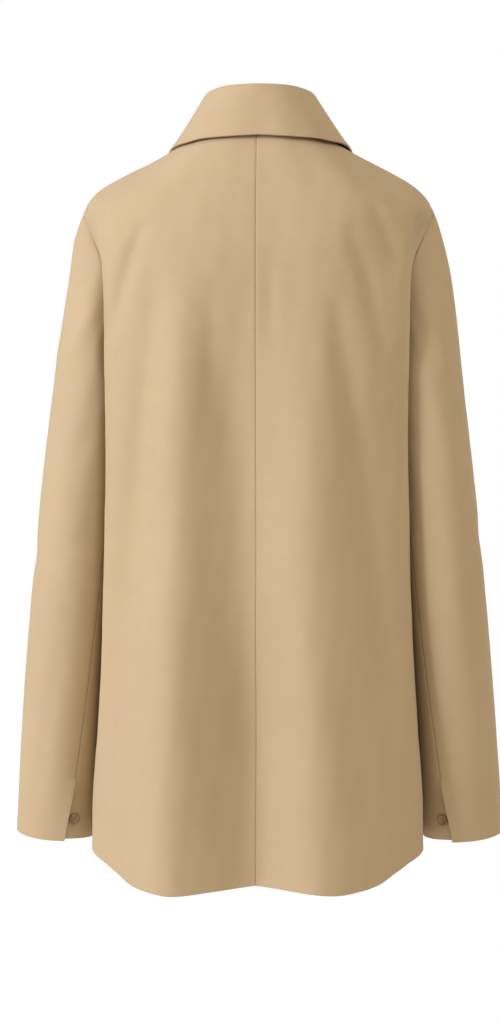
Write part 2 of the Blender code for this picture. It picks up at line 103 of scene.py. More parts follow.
# Rows and columns of the panels, close together at sewn edges, folds and hems
panelMesh = {
    "strip": (0.0, 0.35, 0.8, 1.4, 2.2, 3.4, 5.2), "foldStrip": (0.0, 0.6, 1.3, 2.2, 3.4, 5.0),
    "foldRoom": 7, "backColumns": 50, "wingColumns": 10, "frontColumns": 66,
    "topRows": (0, 0.02, 0.05, 0.1), "shoulderFrom": 0.2, "shoulderRows": 34, "armholeRows": 40,
    "skirtRows": 84, "skirtEnd": 0.1, "hemRows": (0.055, 0.027, 0.013, 0.005, 0.0),
    "midRow": 80,  # a row well below the neck
}

# Flutes that hang from the shoulders, in mm
# x at start and hem, half width at start and hem, rise, z at the start and where it is full
flutes = {
    "back": (
        (76, 105, 28, 42, 13.5, -105, -330), (90, 104, 34, 40, 8, -380, -680),
        (30, -6, 34, 46, -13, -130, -340), (12, -4, 36, 42, -14, -380, -680),
        (-60, -54, 28, 44, 9.5, -150, -380),
    ),
    "front": (
        (78, 96, 34, 44, 8, -260, -600), (44, 52, 24, 34, -7, -280, -620),
        (-82, -98, 34, 44, 8, -240, -580), (-46, -54, 24, 34, -6, -290, -620),
    ),
    "fade": 0.22,
}

# Drag lines pressed into the cloth, in mm: start x, z, bend x, z, end x, z, half width, rise
dragLines = {
    "back": (
        (166, -72, 168, -86, 165, -104, 6, -2.4), (122, -94, 141, -138, 158, -228, 9, -4.6),
        (106, -140, 119, -240, 152, -700, 15, -6.5), (128, -96, 140, -118, 150, -138, 7, 1.2),
        (166, -96, 162, -180, 158, -420, 5, -1.3), (-166, -100, -162, -190, -158, -440, 5, -1.2),
        (-178, -82, -176, -98, -172, -132, 5, -7.5), (-122, -70, -139, -98, -153, -152, 8, -2.8),
        (-98, -98, -120, -146, -137, -244, 9, -3.4), (-84, -170, -99, -285, -150, -620, 14, -6.5),
        (-13, -125, -17, -180, -19, -262, 8, -1.5), (44, -150, 52, -210, 46, -300, 9, -1.2),
        (-34, -470, -30, -560, -24, -640, 13, -1.3),
    ),
    "front": (
        (112, -100, 128, -150, 136, -235, 12, -2.8), (84, -120, 112, -180, 134, -285, 15, 2.4),
        (58, -160, 98, -235, 128, -350, 16, -2.6), (-108, -98, -126, -150, -136, -230, 13, -2.8),
        (-80, -118, -110, -182, -134, -290, 15, 2.4), (-56, -165, -94, -240, -126, -360, 16, -2.5),
        (20, -330, 44, -352, 74, -362, 14, -1.6), (-18, -560, -50, -590, -88, -604, 18, -1.6),
    ),
}


def hermite(a, da, b, db, s):
    s2, s3 = s * s, s * s * s
    return (2 * s3 - 3 * s2 + 1) * a + (s3 - 2 * s2 + s) * da + (3 * s2 - 2 * s3) * b + (s3 - s2) * db


def alongRows(table, place):
    rows = np.asarray(table, float)
    slopes = np.gradient(rows, axis=0)
    i = np.clip(np.floor(place).astype(int), 0, len(rows) - 2)
    return hermite(rows[i], slopes[i], rows[i + 1], slopes[i + 1], place - i)


def alongKeys(table, keys, column):
    rows = np.asarray(table, float)
    return alongRows(rows[:, column], np.interp(keys, rows[:, 0], np.arange(len(rows))))


def smoothStep(v):
    v = np.clip(v, 0.0, 1.0)
    return v * v * (3 - 2 * v)


def ramp(v, start, full):
    return smoothStep((v - start) / (full - start))


def bell(v, width):
    return np.exp(-((v / width) ** 2))


def runLengths(points):
    return np.concatenate([[0.0], np.cumsum(np.linalg.norm(np.diff(points, axis=0), axis=1))])


def atDistance(points, distances):
    run = runLengths(points)
    return np.column_stack([np.interp(distances, run, points[:, k]) for k in range(3)])


def unit(v):
    v = np.asarray(v, float)
    return v / np.maximum(np.linalg.norm(v, axis=-1, keepdims=True), 1e-12)


def edgePoint(which, place):
    # the shoulder line ends at the armhole, which runs smoothly from back to front over its top
    b = coatBlock
    top = int(b["armholeTop"])
    if place <= top:
        both = [alongRows(b[k][:top + 1], place)[5:] * mm for k in ("back", "front")]
        return (both[0] + both[1]) / 2
    both = {}
    for k, other in (("back", "front"), ("front", "back")):
        both[k] = alongRows((b[other][top + 1], *b[k][top:]), place - top + 1)[5:] * mm
    return both[which] if place < b["underarm"] else (both["back"] + both["front"]) / 2


def sectionKnots(which, place):
    b = coatBlock
    depth, level, cx, cy, cz = alongRows(b[which], place)[:5] * mm
    between = np.array((
        b["midReach"] * cx, cy + b["midDepth"] * (depth - cy), cz + b["midLevel"] * (level - cz)
    ))
    return np.array((0, depth, level)), between, np.array((cx, cy, cz)), edgePoint(which, place)


cornerStep = 60  # points of a half section between its knots


def halfSection(which, place):
    w = wing
    centre, between, corner, edge = sectionKnots(which, place)
    farCorner, farEdge = sectionKnots("front" if which == "back" else "back", place)[2:]
    openness = smoothStep(np.linalg.norm(farEdge - edge) / (coatBlock["sideOpen"] * mm))
    beyond = farEdge * openness + farCorner * (1 - openness)
    knots = (centre, between, corner, edge)
    slopes = [np.array((between[0], 0, 0))]
    slopes += [(corner - centre) / 2, (edge - between) / 2, (beyond - corner) / 2]
    s = np.linspace(0, 1, cornerStep, endpoint=False)[:, None]
    risen = ramp(place, *w["rise"]) if which == "back" else 0.0
    slopes[2] = slopes[2] * (1 - w["crease"] * risen * ramp(place, *w["creaseEnd"]))
    turn = ((edge - corner) * w["turn"] - slopes[2]) * risen * ramp(place, *w["turnEnd"])
    leave = [slopes[0], slopes[1], slopes[2] + turn]
    runs = [hermite(knots[k], leave[k], knots[k + 1], slopes[k + 1], s) for k in range(3)]
    if which == "front":
        return np.concatenate([*runs, edge[None]])
    # behind its fold the cloth drops steeply, then runs out to the armhole seam
    footOut, footIn, footDown = w["foot"]
    footOut += (w["footWide"] - footOut) * ramp(place, *w["wideEnd"])
    footIn = w["footNear"] + (footIn - w["footNear"]) * ramp(place, *w["nearEnd"])
    foot = corner + (edge - corner) * (footOut, footIn, footDown)
    drop = (1 - s) ** 3 * corner + 3 * s * (1 - s) * foot + s ** 3 * edge
    runs[2] += (drop - runs[2]) * ramp(place, *w["dropRise"]) * ramp(place, *w["dropEnd"])
    inward = unit((edge[1] - corner[1], corner[0] - edge[0], 0.0))
    room = w["hollow"] * mm * ramp(place, *w["hollowRise"]) * ramp(place, *w["hollowEnd"])
    runs[2] += inward * room * np.sin(math.pi * s)
    points = np.concatenate([*runs, edge[None]])
    before, after = w["roundReach"]
    fold = np.arange(2 * cornerStep - before, 2 * cornerStep + after)
    for _ in range(w["rounding"]):
        points[fold] = (points[fold - 1] + 2 * points[fold] + points[fold + 1]) / 4
    return points


def fluteRise(which, x, z):
    total = np.zeros_like(x)
    hemLevel = coatBlock["back"][-1][1]
    for xa, xb, ha, hb, rise, za, zb in flutes[which]:
        down = np.clip((z / mm - za) / (hemLevel - za), 0, 1)
        swell = bell(x / mm - xa - (xb - xa) * down, ha + (hb - ha) * down)
        total += rise * ramp(z / mm, za, zb) * swell
    return total * mm


def dragLift(lines, x, z):
    total = np.zeros_like(x)
    t = np.linspace(0, 1, 129)
    for xa, za, xm, zm, xb, zb, half, rise in lines:
        cx, cz = (((1 - t) ** 2 * a + 2 * t * (1 - t) * m + t * t * b) * mm
                  for a, m, b in ((xa, xm, xb), (za, zm, zb)))
        gap = (x[..., None] - cx) ** 2 + (z[..., None] - cz) ** 2
        near = gap.argmin(axis=-1)
        away = np.sqrt(np.take_along_axis(gap, near[..., None], -1)[..., 0])
        fade = np.sin(math.pi * np.clip(t[near], 0.001, 0.999)) ** 0.8
        total += rise * fade * bell(away, half * mm)
    return total * mm


# Slow swell of worn cloth with a little fine unevenness
unrest = {
    # size, length in m, lean, phase
    "waves": (
        (0.9, 0.118, 0.0, 0.3), (0.7, 0.071, 0.9, 1.7), (0.45, 0.043, -0.6, 4.1),
        (0.22, 0.024, 0.4, 2.2), (0.12, 0.013, -1.1, 0.8),
    ),
    "height": 0.45, "drawn": 0.35, "across": 0.5, "acrossPace": 0.45,
}


def clothUnrest(u, v, seed):
    n = unrest
    total = np.zeros_like(u)
    for size, length, lean, phase in n["waves"]:
        k = 2 * math.pi / length
        total += size * np.sin(k * (u * math.cos(lean) + n["drawn"] * v * math.sin(lean)) + phase + seed)
        total += size * n["across"] * np.sin(k * n["acrossPace"] * v + phase * 2.3 + seed * 1.7)
    return total * n["height"] * mm


def gridNormals(grid, flip):
    across = np.gradient(grid, axis=1)
    down = np.gradient(grid, axis=0)
    normals = unit(np.cross(across, down))
    return -normals if flip else normals


strip = np.array(panelMesh["strip"]) * mm  # columns close to a sewn edge


def stripped(length, count, gap):
    inside = np.linspace(strip[-1] + gap, length - strip[-1] - gap, count)
    return np.concatenate([strip[:-1] + gap, inside, (length - strip[:-1] - gap)[::-1]])


def wingStripped(length, corner, gap):
    # columns of the back, close together where it folds beside the armhole
    m = panelMesh
    near, room = np.array(m["foldStrip"]) * mm, m["foldRoom"] * mm
    inside = np.linspace(strip[-1] + gap, corner - room, m["backColumns"])
    beyond = np.linspace(corner + room, length - strip[-1] - gap, m["wingColumns"])
    fold = np.concatenate([corner - near[:0:-1], corner + near])
    return np.concatenate([strip[:-1] + gap, inside, fold, beyond, (length - strip[:-1] - gap)[::-1]])


def bodyPlaces():
    b, m = coatBlock, panelMesh
    return np.concatenate([
        m["topRows"],
        np.linspace(m["shoulderFrom"], b["armholeTop"], m["shoulderRows"], endpoint=False),
        np.linspace(b["armholeTop"], b["underarm"], m["armholeRows"], endpoint=False),
        np.linspace(b["underarm"], b["lastRow"] - m["skirtEnd"], m["skirtRows"]),
        b["lastRow"] - np.array(m["hemRows"]),
    ])


def bodyRow(which, place, signed, side):
    # points at signed distances from the centre line, with their share of the way to the edge
    dense = halfSection(which, place)
    length = runLengths(dense)[-1]
    whole = np.concatenate([(dense * (-1, 1, 1))[:0:-1], dense])
    points = atDistance(whole, length + signed)
    share = np.abs(signed) / length
    points[:, 0] *= side
    b = coatBlock
    curve = ramp(place, b["hemFrom"], b["lastRow"])
    points[:, 2] -= alongKeys(b["hemDrop"], share, 1 if which == "back" else 2) * curve * mm
    out = 1 if which == "back" else -1
    fade = smoothStep((1 - share) / flutes["fade"])
    points[:, 1] += out * fluteRise(which, points[:, 0], points[:, 2]) * fade
    return points, share, length


def sewnEdge(away):
    return -coatBlock["groove"] * mm * bell(away, coatBlock["grooveWidth"] * mm)


def pucker(away, run, seed):
    # small gathers that a sewn seam draws in
    slow, quick = coatBlock["puckerBeats"]
    beat = np.sin(run / (slow * mm) + seed) + 0.7 * np.sin(run / (quick * mm) + 2.1 * seed)
    return coatBlock["pucker"] * mm * beat * bell(away, coatBlock["puckerWidth"] * mm)


# painted shade along a seam, partly standing for dirt: a darker tone that falls off away from the seam
def seamShadeAndDirtTone(away):
    return bell(away, coatBlock["seamShadeAndDirtTone"] * mm)


# Cloth: tan cotton twill
clothLook = {
    "tan": (0.470, 0.326, 0.176),
    "shade": (0.405, 0.274, 0.142),
    "twill": 0.00075, "twillLean": 1.05,  # pitch in metres and slope of the twill line
    "wander": 1.6, "pick": 0.14, "pickPace": 1.9,  # how far that line strays, and the weft against it
    # scale, detail and roughness of each noise
    "strayNoise": (900, 2), "slubNoise": (2600, 2), "cloudNoise": (7, 4, 0.55), "mottleNoise": (60, 3),
    # share of each in the tone
    # the seam share darkens the cloth along seams as painted shade, partly standing for dirt
    "cloudTone": 0.55, "mottleTone": 0.25, "weaveTone": -0.16, "slubTone": 0.12, "seamShadeAndDirtTone": 0.12,
    "toneEnds": (0.18, 0.85),
    "relief": 0.32, "reliefDepth": 0.00016, "slubRelief": 0.5,
    "roughness": 0.72, "roughSpread": 0.12, "gloss": 0.28,
    "sheen": 0.18, "sheenRoughness": 0.42, "sheenTint": (1.0, 0.93, 0.82),
}


def addNode(tree, kind, **settings):
    node = tree.nodes.new(kind)
    for key, value in settings.items():
        setattr(node, key, value)
    return node


def mathNode(tree, operation, first, second=None, third=None):
    node = addNode(tree, "ShaderNodeMath", operation=operation)
    for socket, value in zip(node.inputs, (first, second, third)):
        if isinstance(value, bpy.types.NodeSocket):
            tree.links.new(value, socket)
        elif value is not None:
            socket.default_value = value
    return node.outputs[0]


def setInputs(node, **values):
    for label, value in values.items():
        node.inputs[label.replace("_", " ")].default_value = value


def wire(tree, *links):
    for source, output, target, label in links:
        tree.links.new(source.outputs[output], target.inputs[label])


def noiseNode(tree, vector, scale, detail, rough=0.5):
    node = addNode(tree, "ShaderNodeTexNoise")
    tree.links.new(vector, node.inputs["Vector"])
    setInputs(node, Scale=scale, Detail=detail, Roughness=rough)
    return node.outputs["Fac"]


def newMaterial(name):
    material = bpy.data.materials.new(name)
    material.use_nodes = True
    tree = material.node_tree
    return material, tree, tree.nodes["Principled BSDF"]


def colourBy(tree, shader, factor, ends, colours):
    node = addNode(tree, "ShaderNodeValToRGB")
    for stop, end, colour in zip(node.color_ramp.elements, ends, colours):
        stop.position, stop.color = end, (*colour, 1)
    tree.links.new(factor, node.inputs["Fac"])
    wire(tree, (node, "Color", shader, "Base Color"))


def reliefBy(tree, shader, height, strength, depth):
    node = addNode(tree, "ShaderNodeBump")
    setInputs(node, Strength=strength, Distance=depth)
    tree.links.new(height, node.inputs["Height"])
    wire(tree, (node, "Normal", shader, "Normal"))


def makeCloth(name):
    look = clothLook
    material, tree, shader = newMaterial(name)
    uv = addNode(tree, "ShaderNodeUVMap", uv_map="cut").outputs["UV"]
    place = addNode(tree, "ShaderNodeTexCoord").outputs["Object"]
    parts = addNode(tree, "ShaderNodeSeparateXYZ")
    tree.links.new(uv, parts.inputs[0])
    u, v = parts.outputs["X"], parts.outputs["Y"]
    turn = 2 * math.pi / look["twill"]
    lean = mathNode(tree, "MULTIPLY_ADD", v, look["twillLean"], u)
    stray = noiseNode(tree, uv, *look["strayNoise"])
    phase = mathNode(tree, "MULTIPLY_ADD", stray, look["wander"], mathNode(tree, "MULTIPLY", lean, turn))
    rib = mathNode(tree, "MULTIPLY_ADD", mathNode(tree, "SINE", phase), 0.5, 0.5)
    pick = mathNode(tree, "SINE", mathNode(tree, "MULTIPLY", v, turn * look["pickPace"]))
    weave = mathNode(tree, "MULTIPLY_ADD", pick, look["pick"], rib)
    slub = noiseNode(tree, uv, *look["slubNoise"])
    cloud = noiseNode(tree, place, *look["cloudNoise"])
    mottle = noiseNode(tree, place, *look["mottleNoise"])
    # darker along seams: painted shade, partly standing for dirt
    seamShadeAndDirt = addNode(tree, "ShaderNodeAttribute", attribute_name="seamShadeAndDirt").outputs["Fac"]

    tone = mathNode(tree, "MULTIPLY", mottle, look["mottleTone"])
    for part, share in ((cloud, "cloudTone"), (weave, "weaveTone"), (slub, "slubTone"), (seamShadeAndDirt, "seamShadeAndDirtTone")):
        tone = mathNode(tree, "MULTIPLY_ADD", part, look[share], tone)
    colourBy(tree, shader, tone, look["toneEnds"], (look["tan"], look["shade"]))
    height = mathNode(tree, "MULTIPLY_ADD", slub, look["slubRelief"], weave)
    reliefBy(tree, shader, height, look["relief"], look["reliefDepth"])
    rough = mathNode(tree, "MULTIPLY_ADD", mottle, look["roughSpread"], look["roughness"])
    tree.links.new(rough, shader.inputs["Roughness"])
    setInputs(shader, Specular_IOR_Level=look["gloss"], Sheen_Weight=look["sheen"],
              Sheen_Roughness=look["sheenRoughness"], Sheen_Tint=(*look["sheenTint"], 1))
    return material


cloth = makeCloth("tanTwill")
print("cloth ready")

# The left shoulder hangs lower beside the neck, in mm
shoulderDrop = {"drop": 3.2, "middle": 112, "half": 42, "levels": (-190, -80)}


def lowered(grid):
    d = shoulderDrop
    x, z = grid[..., 0] / mm, grid[..., 2] / mm
    low = grid.copy()
    low[..., 2] -= d["drop"] * mm * bell(x - d["middle"], d["half"]) * ramp(z, *d["levels"])
    return low


def placed(name, data):
    thing = bpy.data.objects.new(name, data)
    bpy.context.scene.collection.objects.link(thing)
    return thing


def steps(grid, axis):
    return np.linalg.norm(np.diff(grid, axis=axis), axis=2)


def cutSize(grid):
    return tuple(round(float(steps(grid, axis).sum(axis=axis).max()), 3) for axis in (1, 0))


def cutUv(grid):
    u = np.concatenate([np.zeros((len(grid), 1)), np.cumsum(steps(grid, 1), axis=1)], axis=1)
    return np.stack([u, -runDown(grid)], axis=-1)


def runDown(grid):
    return np.concatenate([np.zeros((1, grid.shape[1])), np.cumsum(steps(grid, 0), axis=0)])


def clothShell(node, grid, seamShadeAndDirt, flip, thick=coatBlock["cloth"]):
    # closed thin wall through a grid, its rim rounded
    name, uv, flat, wall = "cloth_" + node, cutUv(grid), cutSize(grid), thick * mm
    grid = lowered(grid)
    rows, cols = grid.shape[:2]
    inner = grid - gridNormals(grid, flip) * wall
    edge = [(0, j) for j in range(cols)] + [(i, cols - 1) for i in range(1, rows)]
    edge += [(rows - 1, j) for j in range(cols - 2, -1, -1)] + [(i, 0) for i in range(rows - 2, 0, -1)]
    i, j = np.array(edge).T
    back = grid[np.clip(i, 1, rows - 2), np.clip(j, 1, cols - 2)]
    rim = (grid[i, j] + inner[i, j]) / 2 + unit(grid[i, j] - back) * wall * coatBlock["rim"]
    points = np.concatenate([grid.reshape(-1, 3), inner.reshape(-1, 3), rim])
    cell = np.arange(rows * cols).reshape(rows, cols)
    a, b, c, d = cell[:-1, :-1], cell[1:, :-1], cell[1:, 1:], cell[:-1, 1:]
    outer = np.stack([a, b, c, d] if flip else [a, d, c, b], axis=-1).reshape(-1, 4)
    p, s = cell[i, j], 2 * cell.size + np.arange(len(edge))
    q, r = np.roll(p, -1), np.roll(s, -1)
    turned = np.stack([p, s, r, q, s, p + cell.size, q + cell.size, r], axis=-1).reshape(-1, 4)
    faces = np.concatenate([outer, outer[:, ::-1] + cell.size, turned if flip else turned[:, ::-1]])
    mesh = bpy.data.meshes.new(name)
    mesh.from_pydata(points.tolist(), [], faces.tolist())
    mesh.update()
    allUv = np.concatenate([uv.reshape(-1, 2)] * 2 + [uv[i, j]])
    allSeamShadeAndDirt = np.concatenate([seamShadeAndDirt.ravel()] * 2 + [seamShadeAndDirt[i, j]])
    index = np.empty(len(mesh.loops), int)
    mesh.loops.foreach_get("vertex_index", index)
    mesh.uv_layers.new(name="cut").data.foreach_set("uv", allUv[index].astype(np.float32).ravel())
    # point attribute that darkens the cloth along seams: painted shade, partly dirt
    mesh.attributes.new("seamShadeAndDirt", "FLOAT", "POINT").data.foreach_set("value", allSeamShadeAndDirt.astype(np.float32))
    mesh.materials.append(cloth)
    mesh.shade_smooth()
    piece = placed(name, mesh)
    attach(piece, "root")
    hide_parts(node)


# Back: made whole across the centre seam, then parted there
def makeBack():
    b, w = coatBlock, wing
    found = []
    for place in bodyPlaces():
        run = runLengths(halfSection("back", place))
        half = wingStripped(run[-1], run[2 * cornerStep], b["seamGap"] / 2 * mm)
        signed = np.concatenate([-half[::-1], half])
        points, share, length = bodyRow("back", place, signed, 1)
        found.append((points, length * (1 - share), signed))
    grid, toEdge, signed = map(np.array, zip(*found))
    # ease the bend where the shoulder turns into the armhole, up to the seam
    near = smoothStep(1 - np.abs(bodyPlaces() - b["armholeTop"]) / w["easeSpan"])[:, None]
    near = near * ramp(toEdge / mm, *w["easeEdge"]) * w["ease"]
    for _ in range(w["easePasses"]):
        grid[1:-1] += ((grid[:-2] + grid[2:]) / 2 - grid[1:-1]) * near[1:-1, :, None]
    normals = gridNormals(grid, False)
    normals *= np.sign(normals[panelMesh["midRow"], 60, 1])
    x, z = grid[..., 0], grid[..., 2]
    calm = smoothStep(toEdge / (b["edgeFade"] * mm)) * smoothStep(-z / (b["neckFade"] * mm))
    lift = (dragLift(dragLines["back"], x, z) + clothUnrest(signed, z, 0.4)) * calm
    lift += sewnEdge(np.abs(signed)) + sewnEdge(toEdge)
    lift += pucker(np.abs(signed), z, 0.6) + pucker(toEdge, z, 1.9)
    grid = grid + normals * lift[..., None]
    # painted shade along the centre and side seams, partly standing for dirt
    seamShadeAndDirt = seamShadeAndDirtTone(np.minimum(np.abs(signed), toEdge))
    middle = grid.shape[1] // 2
    for hand, cut in (("left", slice(middle, None)), ("right", slice(0, middle))):
        clothShell(f"back_{hand}", grid[:, cut], seamShadeAndDirt[:, cut], False)
    print("back made")


makeBack()

# Fronts: the right one laps over the left
frontLap = {"reach": 22, "ramp": 70, "full": 0.6, "layer": 1.9, "calm": (12, 52), "neck": -30}


def makeFront(side, hand):
    b, lap = coatBlock, frontLap
    reach = lap["reach"] * mm
    found = []
    for place in bodyPlaces():
        length = runLengths(halfSection("front", place))[-1]
        signed = stripped(length + reach, panelMesh["frontColumns"], b["seamGap"] / 2 * mm) - reach
        points = bodyRow("front", place, signed, side)[0]
        if side > 0:
            run = sectionKnots("front", place + 0.05)[0] - sectionKnots("front", place - 0.05)[0]
            inward = unit((0.0, -run[2], run[1]))
            sink = smoothStep(1 + lap["full"] - (signed + reach) / (lap["ramp"] * mm))
            points += inward * (lap["layer"] * mm * sink)[:, None]
        found.append((points, length - signed, signed))
    grid, toEdge, signed = map(np.array, zip(*found))
    normals = gridNormals(grid, False)
    normals *= -np.sign(normals[panelMesh["midRow"], 30, 1])
    x, z = grid[..., 0], grid[..., 2]
    below = lap["neck"] * mm - z
    calm = smoothStep(toEdge / (b["edgeFade"] * mm)) * smoothStep(below / (b["neckFade"] * mm))
    lift = dragLift(dragLines["front"], x, z) * calm
    lift += clothUnrest(signed, z, 1.3 + side) * calm * ramp(signed / mm, *lap["calm"])
    lift += sewnEdge(toEdge) + pucker(toEdge, z, 1.1)
    grid = grid + normals * lift[..., None]
    # the darker tone along its edges is painted seam shade, partly dirt
    clothShell(f"front_{hand}", grid, seamShadeAndDirtTone(toEdge), side > 0)
    return grid


frontGrids = {hand: makeFront(side, hand) for side, hand in ((1, "left"), (-1, "right"))}
print("fronts made")

# Sleeves: made for the left and mirrored
sleeve = {
    # axis x, y, z, half width, half depth, angle of the back seam
    "rows": (
        (183.2, 6, -268, 41.0, 53, -68),
        (195.8, 8, -380, 41.5, 52, -61),
        (207.3, 6, -510, 42.5, 50, -51),
        (217.5, -8, -640, 43.5, 49, -37),
        (225.0, -26, -762, 44.0, 48, -19.5),
    ),
    "capBackSeam": -50.0, "frontSeam": -130.0, "round": 297,
    "leave": (0.37, 0.25, -0.90), "clear": (0.32, -0.36, 0.0), "capFree": (-0.5, 0.4),
    # the vent: length, lap, and how its two edges part, in mm; rises are shares of its length
    "vent": 72, "ventLap": 12, "lapRise": (0.2, 0.6), "ventSink": 4.6, "sinkRise": (0, 1 / 3),
    "sinkAngle": 60, "underShort": 1.2, "slitLift": 1.5, "slitGape": 2.6, "slitRise": (0, 1 / 8),
    "slitWidth": 7, "slitCalm": 20,
    "seamFade": 14, "capFade": 0.16, "hemFade": 0.1, "unrest": 0.7,
    "topColumns": 74, "underColumns": 26, "midRow": 60, "ringRows": 82, "ventRows": 18, "ventEnd": 0.06,
    "seamRows": (0, 0.01, 0.025, 0.05, 0.09), "capFrom": -0.86, "capRows": 26,
    "hemRows": (0.04, 0.02, 0.01, 0.004, 0.0),
}

# Sleeve creases: angle and z at start, bend and end, half width and rise in mm
creases = {
    "left": (
        (12, -130, -4, -165, -24, -205, 9, -2.2), (88, -112, 90, -160, 92, -235, 32, -3.6),
        (-30, -240, -16, -290, 0, -360, 13, -1.0), (-50, -300, -20, -330, 30, -352, 13, -0.9),
        (20, -180, 48, -240, 60, -330, 11, 1.8), (-46, -420, -10, -450, 50, -462, 15, -0.9),
        (60, -430, 90, -470, 130, -480, 16, -1.8), (190, -400, 210, -440, 225, -470, 13, -2.4),
        (150, -250, 180, -290, 215, -320, 14, -2.2), (10, -560, 24, -640, 20, -730, 12, -1.2),
    ),
    "right": (
        (10, -126, -6, -158, -26, -200, 9, -2.0), (-30, -250, -16, -300, 2, -370, 13, -1.0),
        (-52, -312, -22, -338, 26, -366, 12, -0.9), (24, -190, 44, -250, 52, -340, 12, 1.8),
        (-44, -436, -12, -470, 44, -478, 15, -0.9), (64, -410, 96, -446, 132, -462, 16, -1.8),
        (188, -418, 208, -452, 226, -484, 13, -2.4), (148, -262, 178, -300, 214, -336, 14, -2.2),
        (6, -580, 20, -650, 14, -735, 12, -1.2),
    ),
}


def armholePoint(angle):
    b = coatBlock
    turned = (angle + 90.0) % 360.0 - 90.0
    which = "back" if turned <= 90.0 else "front"
    share = abs(90.0 - turned) / 180.0
    return edgePoint(which, b["armholeTop"] + (b["underarm"] - b["armholeTop"]) * share)


def sleeveRing(place, angle):
    ax, ay, az, hw, hd = alongRows(sleeve["rows"], place)[:5] * mm
    ahead, behind = alongRows(sleeve["rows"], place + 0.01), alongRows(sleeve["rows"], place - 0.01)
    leanX, leanY = (ahead - behind)[:2] / (ahead - behind)[2]
    a = np.radians(angle)
    out, back = hw * np.sin(a), hd * np.cos(a)
    return np.stack([ax + out, ay + back, az - leanX * out - leanY * back], axis=-1)


def capPoints(share, angles):
    start = np.array([armholePoint(a) for a in angles])
    end = sleeveRing(0, angles)
    a = np.radians(angles)[:, None]
    reach = np.linalg.norm(end - start, axis=1, keepdims=True)
    free = ramp(np.sin(a), *sleeve["capFree"])
    lx, ly, lz = sleeve["leave"]
    shoulderWay = np.concatenate([np.full_like(a, lx), ly * np.cos(a), np.full_like(a, lz)], axis=1)
    below = (end - start) / reach + np.array(sleeve["clear"]) * np.maximum(0.0, -np.sin(2 * a))
    leave = unit(shoulderWay * free + below * (1 - free))
    arrive = unit(sleeveRing(0.2, angles) - end)
    start = start + leave * coatBlock["seamGap"] * mm
    return hermite(start, leave * reach, end, arrive * reach, share)


def backSeamAngle(place):
    if place < 0:
        first = sleeve["rows"][0][5]
        return sleeve["capBackSeam"] + (first - sleeve["capBackSeam"]) * float(smoothStep(place + 1))
    return alongRows(sleeve["rows"], place)[5]


lastRing = len(sleeve["rows"]) - 1
ringDrop = sleeve["rows"][-2][2] - sleeve["rows"][-1][2]
ventTop = lastRing - sleeve["vent"] / ringDrop


def sleevePoints(place, angles, under):
    points = capPoints(place + 1, angles) if place < 0 else sleeveRing(place, angles)
    if under and place > ventTop:
        vent = (place - ventTop) / (lastRing - ventTop)
        nearSlit = smoothStep(1 - (backSeamAngle(place) - angles) / sleeve["sinkAngle"])
        inward = unit(sleeveRing(place, angles + 180) - points)
        sink = sleeve["ventSink"] * mm * ramp(vent, *sleeve["sinkRise"]) * nearSlit
        points = points + inward * sink[:, None]
        points[:, 2] += sleeve["underShort"] * mm * vent ** 3 * nearSlit
    return points


def sleevePlaces():
    m = sleeve
    return np.concatenate([
        -1 + np.array(m["seamRows"]),
        np.linspace(m["capFrom"], 0, m["capRows"], endpoint=False),
        np.linspace(0, ventTop, m["ringRows"], endpoint=False),
        np.linspace(ventTop, lastRing - m["ventEnd"], m["ventRows"]),
        lastRing - np.array(m["hemRows"]),
    ])


def makeSleeve(under, hand):
    m, side, kind = sleeve, 1 if hand == "left" else -1, "under" if under else "top"
    degrees = 360 / (m["round"] * mm)
    gap = coatBlock["seamGap"] / 2 * mm
    found = []
    for place in sleevePlaces():
        back = backSeamAngle(place)
        front = m["frontSeam"] + (0 if under else 360)
        vent = max(0.0, (place - ventTop) / (lastRing - ventTop))
        lap = m["ventLap"] * mm * ramp(vent, *m["lapRise"]) if under else 0.0
        width = abs(front - back) / degrees
        gape = 0.0 if under else m["slitGape"] * mm * smoothStep(vent)
        away = stripped(width + lap - gape, m[kind + "Columns"], gap) - lap + gape
        angles = back + away * degrees * (-1 if under else 1)
        if not under:
            angles[np.abs(angles - 90).argmin()] = 90  # top of the armhole
        points = sleevePoints(place, angles, under)
        slitOpen = ramp(vent, *m["slitRise"])
        toSeam = np.minimum(np.abs(away) + slitOpen * m["slitCalm"] * mm, width - away)
        slit = 0.0 * away if under else slitOpen * bell(away, m["slitWidth"] * mm)
        found.append((points, angles, toSeam, np.full(len(angles), place), slit))
    grid, angle, toSeam, place, slit = map(np.array, zip(*found))
    normals = gridNormals(grid, False)
    axis = alongRows(m["rows"], place[m["midRow"], 0])[:3] * mm
    normals *= np.sign(normals[m["midRow"], 8] @ (grid[m["midRow"], 8] - axis))
    across, z = angle / degrees, grid[..., 2]
    turned = np.array((degrees * mm, 1) * 3 + (1, 1))  # angles of the creases become mm round the arm
    fade = smoothStep(toSeam / (m["seamFade"] * mm)) * smoothStep((place + 1) / m["capFade"])
    fade = fade * smoothStep((lastRing - place) / m["hemFade"])
    lift = dragLift(np.array(creases[hand]) / turned, across, z)
    lift = (lift + m["unrest"] * clothUnrest(across, z, 2.0 + side)) * fade
    toArmhole = runDown(grid)
    lift += m["slitLift"] * mm * slit
    lift += sewnEdge(toSeam) + sewnEdge(toArmhole) + pucker(toSeam, z, 0.3) + pucker(toArmhole, across, 2.4)
    grid = (grid + normals * lift[..., None]) * (side, 1, 1)
    # painted shade along the seams and the armhole, partly standing for dirt
    seamShadeAndDirt = seamShadeAndDirtTone(np.minimum(toSeam, toArmhole))
    clothShell(f"sleeve_{kind}_{hand}", grid, seamShadeAndDirt, (side > 0) == under)
    return grid, angle, place


underSleeves = {}
for hand in ("left", "right"):
    makeSleeve(False, hand)
    underSleeves[hand] = makeSleeve(True, hand)
print("sleeves made")

